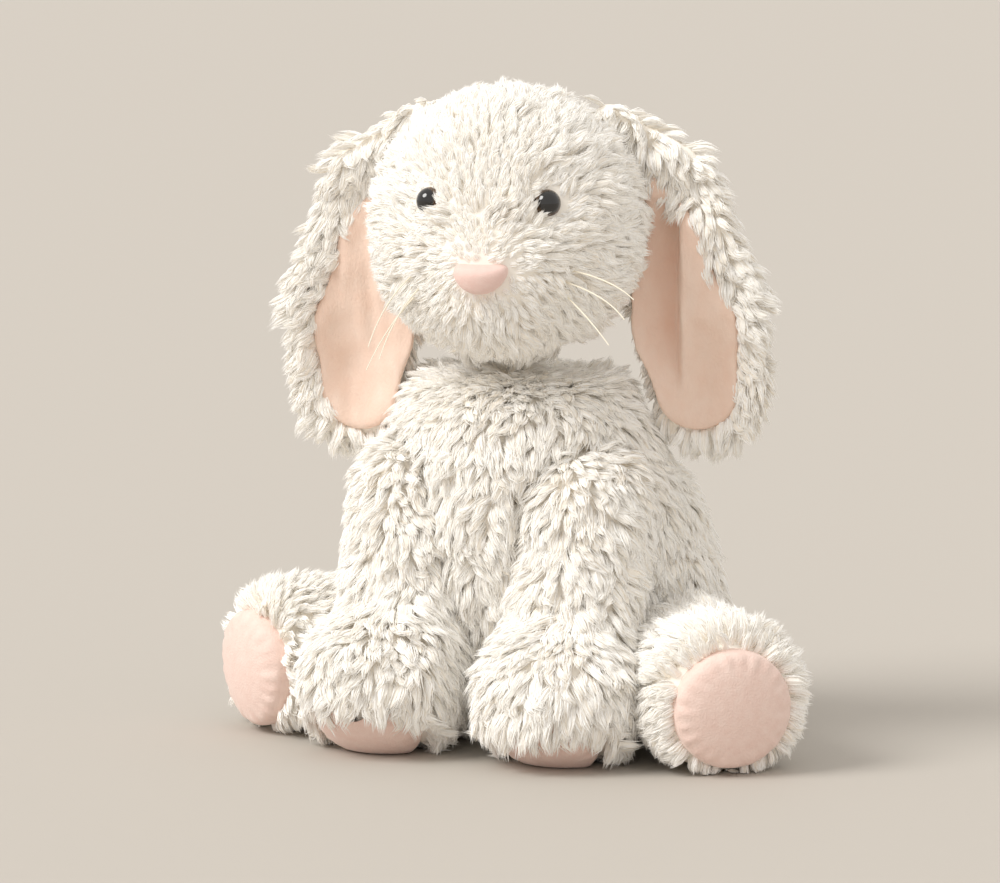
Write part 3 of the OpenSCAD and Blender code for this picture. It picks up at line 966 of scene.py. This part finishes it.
def hind_leg_grows(side, sign):
    def grows(p, n):
        q = mirrored(p, sign)
        along, off = beside_axis(q, FOOT[side], sole_axis(side))
        bare = (along > 6) & (off < SOLE_R - 2.5)
        return off_floor(p, n) & ~bare & (torso_field(p) > -7) & (foreleg_field(q) > -2)
    return grows


def hind_leg_shape(side, sign):
    def shape(p, length, width, rise):
        along, off = beside_axis(mirrored(p, sign), FOOT[side], sole_axis(side))
        rim = np.clip(1 - np.abs(off - 28) / 7, 0, 1) * (along > 6)
        under = np.clip((14 - p[:, 2]) / 10, 0, 1)
        return length * (1 - 0.25 * under), width, rise + (14 * rim - 20 * under)[:, None]
    return shape


def ear_lie(sign):
    def lie(p, n, flat):
        x, z = flat[:, 0], flat[:, 2]
        across = (x - ear_at(z, 0)) / 29
        low = np.clip((-z - 70) / 30, 0, 1)
        v = np.stack([across * (0.5 + np.abs(across)), -0.2 + 0 * x, -1 - 0.5 * low], 1)
        return turned_z(mirrored(v, sign), HEAD_TURN)
    return lie


def ear_grows(p, n, flat):
    x, z, front = flat[:, 0], flat[:, 2], flat[:, 1] < EAR_MIDDLE
    inner_rim = (x < 60) & (z < 5) & (z > -80)
    bare = front & ((outline(x, z, LINING) < -1.6) | inner_rim)
    return ~bare & (head_field(p) > -4) & (z < 50)


def by_height(p):
    return -p[:, 2]


def by_turn(p):
    return np.arctan2(p[:, 0], -p[:, 1])


def tail_grows(p, n):
    return ball(p, BELLY, BELLY_R + 1) > 0


# Length, width and gap of the locks in millimetres, and their rise off the skin at root and tip.
BODY_PILE = (12.5, 4.2, 2.5, (54, 8))
HEAD_PILE = (9.5, 3.1, 2.1, (60, 16))
TAIL_PILE = (11, 4.0, 2.1, (72, 34))
HIND_LEG_PILE = (11, 4.0, 2.5, (62, 16))
EAR_PILE = (12, 4.2, 2.5, (58, 10))
SEED = {"torso": 11, "head": 12, "neck": 13, "tail": 14, "foreleg": 20, "hind_leg": 30, "ear": 40}

piles = {
    "torso": pile("torso_pile", skins["torso"], torso_lie, torso_grows, *BODY_PILE, SEED["torso"],
                  shape=torso_shape, order=by_turn),
    "head": pile("head_pile", skins["head"], head_lie, head_grows, *HEAD_PILE, SEED["head"],
                 fibres=15, thick=0.52, clump=6.5, shape=head_shape, order=by_height),
    "neck": pile("neck_pile", skins["neck"], neck_lie, neck_grows, *BODY_PILE, SEED["neck"],
                 order=by_turn),
    "tail": pile("tail_pile", skins["tail"], tail_lie, tail_grows, *TAIL_PILE, SEED["tail"]),
}
for side, sign in SIDES.items():
    key = "foreleg_" + side
    piles[key] = pile(key + "_pile", skins[key], foreleg_lie(side, sign),
                      foreleg_grows(side, sign), *BODY_PILE, SEED["foreleg"] + sign,
                      shape=foreleg_shape, order=by_height)
    key = "hind_leg_" + side
    piles[key] = pile(key + "_pile", skins[key], hind_leg_lie(side, sign),
                      hind_leg_grows(side, sign), *HIND_LEG_PILE, SEED["hind_leg"] + sign,
                      shape=hind_leg_shape(side, sign))
    key = "ear_" + side
    piles[key] = pile(key + "_pile", skins[key], ear_lie(sign), ear_grows, *EAR_PILE,
                      SEED["ear"] + sign, extra=ear_flat, order=by_height)


# ---- bare velour: pads, soles, ear linings and nose ----

def smoothed(ob, levels=1):
    mod = ob.modifiers.new("smooth", "SUBSURF")
    mod.levels = mod.render_levels = levels
    graph = bpy.context.evaluated_depsgraph_get()
    fine = bpy.data.meshes.new_from_object(ob.evaluated_get(graph), depsgraph=graph)
    ob.modifiers.clear()
    ob.data = fine
    shade_smooth(fine)
    return ob


def patch_field(form, centre, axis, radius, high, crown_r, top_z, p):
    """A crowned pad over a form, high above its centre, round at its seam and cut off at top_z."""
    along, out = beside_axis(p, centre, axis)
    top = ball(p, centre + axis * (high - crown_r), crown_r)
    d = both(both(top, out - radius, 4), p[:, 2] - top_z, 4)
    return np.maximum.reduce([d, -(form(p) + 8), 4 - along, above(p, FLOOR_GAP)])


def patch(name, form, centre, axis, radius, high, crown_r, top_z, sign):
    lo, hi = centre - radius - 8, centre + radius + 12
    lo[2] = -2
    points, quads = net(
        lambda p: patch_field(form, centre, axis, radius, high, crown_r, top_z, p), lo, hi, 1.7)
    points = relaxed(points, quads, 2)
    # Small gathers run in from the seam.
    along, out = beside_axis(points, centre, axis)
    rel = points - centre - along[:, None] * axis
    a = np.cross(axis, (1, 0, 0))
    angle = np.arctan2(rel @ unit(a), rel @ unit(np.cross(axis, a)))
    edge = np.clip((out / radius - 0.66) / 0.3, 0, 1) * (along > radius * 0.3)
    pull = 0.35 * edge * (np.sin(angle * 23) + 0.6 * np.sin(angle * 13 + 1))
    points += pull[:, None] * axis
    if sign < 0:
        points, quads = mirrored(points, -1), quads[:, ::-1]
    return mesh_object(name, points, quads, VELOUR)


pads = {}
for side, sign in SIDES.items():
    pads["foreleg_" + side] = patch(f"foreleg_{side}_velour_pad", foreleg_field, PAW, PAD_AXIS,
                                    PAD_R, PAD_HIGH, PAD_CROWN_R, PAD_TOP[side] + PAD_UNDER_FUR,
                                    sign)
    pads["hind_leg_" + side] = patch(f"hind_leg_{side}_velour_sole",
                                     lambda p, n=side: hind_leg_field(p, n), FOOT[side],
                                     sole_axis(side), SOLE_R - 0.5, SOLE_HIGH, SOLE_CROWN_R,
                                     SOLE_TOP, sign)
swell(list(pads.values()), cap=0.8, frames=10)
for ob in pads.values():
    off_ground(ob)
    smoothed(ob)

linings = {}
flat, quads = net(flat_lining_field, (36, 8, -100), (102, 18, 26), 1.6)
flat = relaxed(flat, quads, 2)
soft = np.clip(-outline(flat[:, 0], flat[:, 2], LINING) / 6, 0, 1)
for side, sign in SIDES.items():
    points = flat.copy()
    points[:, 1] -= soft * (0.9 * noise(flat * (1, 0, 0.35), 16, 60 + sign)
                            + 0.35 * noise(flat * (1, 0, 0.6), 7, 70 + sign) + 0.6)
    linings[side] = smoothed(mesh_object(f"ear_{side}_velour_lining", cupped(points, side),
                                         quads[:, ::sign], EAR_VELOUR))


def nose_axes(p, sign):
    """Turns points by the nose's lift: from its axes (X across, Y up, Z out) to the head's, or back."""
    a = math.radians(90 - NOSE_LIFT) * sign
    return np.stack([p[:, 0], p[:, 1] * math.cos(a) - p[:, 2] * math.sin(a),
                     p[:, 1] * math.sin(a) + p[:, 2] * math.cos(a)], 1)


def nose_field(p):
    """A half oval over the muzzle, flat side up and domed."""
    over = head_field(out_of_head(nose_axes(p, 1)))
    edge = np.hypot(p[:, 0], p[:, 1] * 1.2) - NOSE_R
    edge = both(edge, p[:, 1] - 1.5, 4)
    top = over - NOSE_HIGH + 0.02 * (p[:, 0] ** 2 + p[:, 1] ** 2)
    return np.maximum(both(edge, top, 3), -(over + 7))


points, quads = net(nose_field, (-16, -17, 46), (16, 5, 76), 1.0)
points = nose_axes(relaxed(points, quads, 2), 1)
nose = smoothed(mesh_object("nose_velour", out_of_head(points), quads, NOSE_NAP))

# ---- whiskers: stiff tapered filaments ----

WHISKERS = {"upper": (34, -17), "middle": (31, -22), "lower": (35, -26)}
SWEEP = {("left", "upper"): (14, 3, 6), ("left", "middle"): (16, 2, 6), ("left", "lower"): (5, 0, 1),
         ("right", "upper"): (-9, 0, -16), ("right", "middle"): (-8, 0, -13),
         ("right", "lower"): (-5, 0, -12)}
WHISKER_RINGS = 13
WHISKER_SIDES = 8
WHISKER_FROM, WHISKER_LONG = 50, 50
WHISKER_R, WHISKER_THINS = 0.42, 0.2


def whisker(side, name):
    """A filament that leaves the skin along its CAD line and sweeps off it by SWEEP at the tip."""
    direction = mirrored(facing(*WHISKERS[name]), SIDES[side])
    sweep = mirrored(np.array(SWEEP[side, name]), SIDES[side])
    t = np.linspace(0, 1, WHISKER_RINGS)[:, None]
    when = 2 * t - t ** 2 if side == "left" else t ** 2
    line = out_of_head(direction * (WHISKER_FROM + WHISKER_LONG * t) + sweep * when)
    ahead = unit(np.gradient(line, axis=0))
    across = unit(np.cross(ahead, (0, 0, 1)))
    up = np.cross(across, ahead)
    turn = np.arange(WHISKER_SIDES) * 2 * math.pi / WHISKER_SIDES
    fat = (WHISKER_R - WHISKER_THINS * t)[:, :, None]
    ring = line[:, None] + fat * (np.cos(turn)[:, None] * across[:, None]
                                  + np.sin(turn)[:, None] * up[:, None])
    points = np.concatenate([ring.reshape(-1, 3), line[-1:] + ahead[-1:] * 0.5])
    return mesh_object(f"bristle_{side}_{name}", points, tube(WHISKER_RINGS, WHISKER_SIDES), BRISTLE)


whiskers = {(side, name): whisker(side, name) for side in SIDES for name in WHISKERS}

# ---- what rides on what, and which CAD nodes each piece stands for ----

def point(p):
    return tuple(float(x) * MM for x in p)


def put(ob, body, crossing=None):
    """Rides on a body. With a crossing, its transform is only applied to its points and it rides on
    nothing. The crossing's other body, start and end are not used.
    """
    if crossing is None:
        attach(ob, body)
    else:
        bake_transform(ob)


CROSS = {}
NECK_CROSS = ("torso", NECK + (0, 0, -20), NECK + (0, 0, 2))
for side, sign in SIDES.items():
    CROSS["foreleg_" + side] = ("torso", mirrored(SHOULDER + (0, 3, 12), sign),
                                mirrored(SHOULDER + (0, -8, -30), sign))
    CROSS["hind_leg_" + side] = ("torso", mirrored(HIP[side] - sole_axis(side) * 4, sign),
                                 mirrored(HIP[side] + sole_axis(side) * 26, sign))
    CROSS["ear_" + side] = ("head", out_of_head(mirrored(np.array([40, 18, 42.0]), sign)),
                            out_of_head(mirrored(np.array([58, 18, 20.0]), sign)))

STANDS_FOR = {
    "torso": ["torso_front_panel", "torso_back_left_panel", "torso_back_right_panel",
              "seat_panel", "torso_stuffing"],
    "head": ["head_gusset", "head_left_panel", "head_right_panel", "chin_panel", "head_stuffing"],
    "neck": ["neck_stuffing"],
    "tail": ["tail_fur", "tail_stuffing"],
}
for side in SIDES:
    STANDS_FOR["foreleg_" + side] = [f"foreleg_{side}_{x}" for x in
                                     ("outer_panel", "inner_panel", "stuffing")]
    STANDS_FOR["hind_leg_" + side] = [f"hind_leg_{side}_{x}" for x in
                                      ("upper_panel", "lower_panel", "stuffing")]
    STANDS_FOR["ear_" + side] = [f"ear_{side}_fur"]

for key, ob in skins.items():
    body = "torso" if key == "tail" else key
    for piece in [ob, *piles[key]]:
        put(piece, body, NECK_CROSS if key == "neck" else CROSS.get(key))
    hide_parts(*STANDS_FOR[key])

for side in SIDES:
    for leg, part in (("foreleg_", "pad"), ("hind_leg_", "sole")):
        ob = pads[leg + side]
        put(ob, leg + side, CROSS[leg + side])
        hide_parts(f"{leg}{side}_{part}")
    put(linings[side], "ear_" + side, CROSS["ear_" + side])
    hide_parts(f"ear_{side}_lining")
    for name in WHISKERS:
        put(whiskers[side, name], "head")
        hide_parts(f"whisker_{side}_{name}")
put(nose, "head")
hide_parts("nose")

CARRIED = {"pellet_pouch": POUCH, "pellets": PELLET}
for side in SIDES:
    CARRIED["eye_" + side] = eye_finish(side)
    CARRIED["eye_washer_" + side] = WASHER
for name, mat in CARRIED.items():
    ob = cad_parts[name]
    ob.data.materials.clear()
    ob.data.materials.append(mat)
    shade_smooth(ob.data)

# ---- floor and light ----

FLOOR_HALF = 90.0
me = bpy.data.meshes.new("floor")
me.from_pydata([(-FLOOR_HALF, -FLOOR_HALF, 0), (FLOOR_HALF, -FLOOR_HALF, 0),
                (FLOOR_HALF, FLOOR_HALF, 0), (-FLOOR_HALF, FLOOR_HALF, 0)], [], [(0, 1, 2, 3)])
me.materials.append(finish_of("pale_floor", (0.50, 0.465, 0.42), 0.8))
placed("floor", me)

world = bpy.data.worlds.new("studio")
bpy.context.scene.world = world
world.use_nodes = True
sky = world.node_tree.nodes["Background"].inputs
sky["Color"].default_value = (1.0, 0.965, 0.92, 1)
sky["Strength"].default_value = 0.86

# A distant soft box, so that the floor is lit evenly.
KEY_AZIMUTH, KEY_ELEVATION = -44, 44
KEY_WIDTH = math.radians(30)
KEY_POWER = 2.15

light = bpy.data.lights.new("key", "SUN")
light.angle = KEY_WIDTH
light.energy = KEY_POWER
light.color = (1.0, 0.985, 0.96)
key = placed("key", light)
way = Vector(facing(KEY_AZIMUTH, KEY_ELEVATION))
key.location = way * 2
key.rotation_euler = (-way).to_track_quat("-Z", "Y").to_euler()
bpy.context.scene.cycles.diffuse_bounces = 10
bpy.context.scene.view_settings.view_transform = "Standard"
